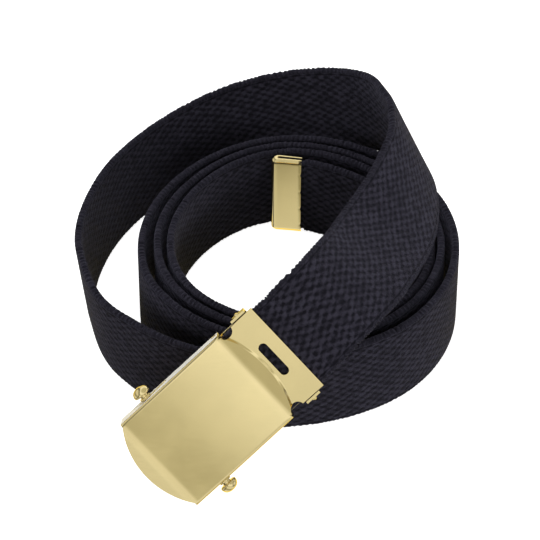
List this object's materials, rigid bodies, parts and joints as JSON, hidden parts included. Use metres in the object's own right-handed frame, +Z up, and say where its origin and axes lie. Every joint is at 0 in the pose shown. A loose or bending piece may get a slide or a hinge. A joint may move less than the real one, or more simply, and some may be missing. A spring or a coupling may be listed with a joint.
{
  "type": "canvas web belt",
  "caption": "canvas web belt coiled on its lower edge with a big outer loop, brass box buckle with roller bar and hinged toothed clamp, brass tip",
  "frame": {"origin": "below the middle of the whole coiled belt, on the surface it stands on", "axes": "Z up across the web's width in the coil; Y from the buckle's side to the back of the outer loop, the longest way; X across"},
  "size_m": [0.1282, 0.1722, 0.0675],
  "materials": {
    "web": "woven cotton canvas, matt",
    "brass": "polished, bright"
  },
  "bodies": {
    "belt": {"strap": "web", "belt_tip": "brass", "buckle_frame": "brass", "clamp_pin": "brass"},
    "roller": {"roller_bar": "brass"},
    "clamp": {"clamp": "brass"}
  },
  "joints": [
    {"name": "bar_slide", "type": "slide", "parent": "belt", "child": "roller", "axis": [0.6977, 0.6061, 0.382], "range_m": [0, 0.007]},
    {"name": "clamp_swing", "type": "hinge", "parent": "belt", "child": "clamp", "pos_m": [-0.00459, -0.05944, 0.03609], "axis": [-0.6825, 0.4003, 0.6115], "range_deg": [0, 90]}
  ]
}
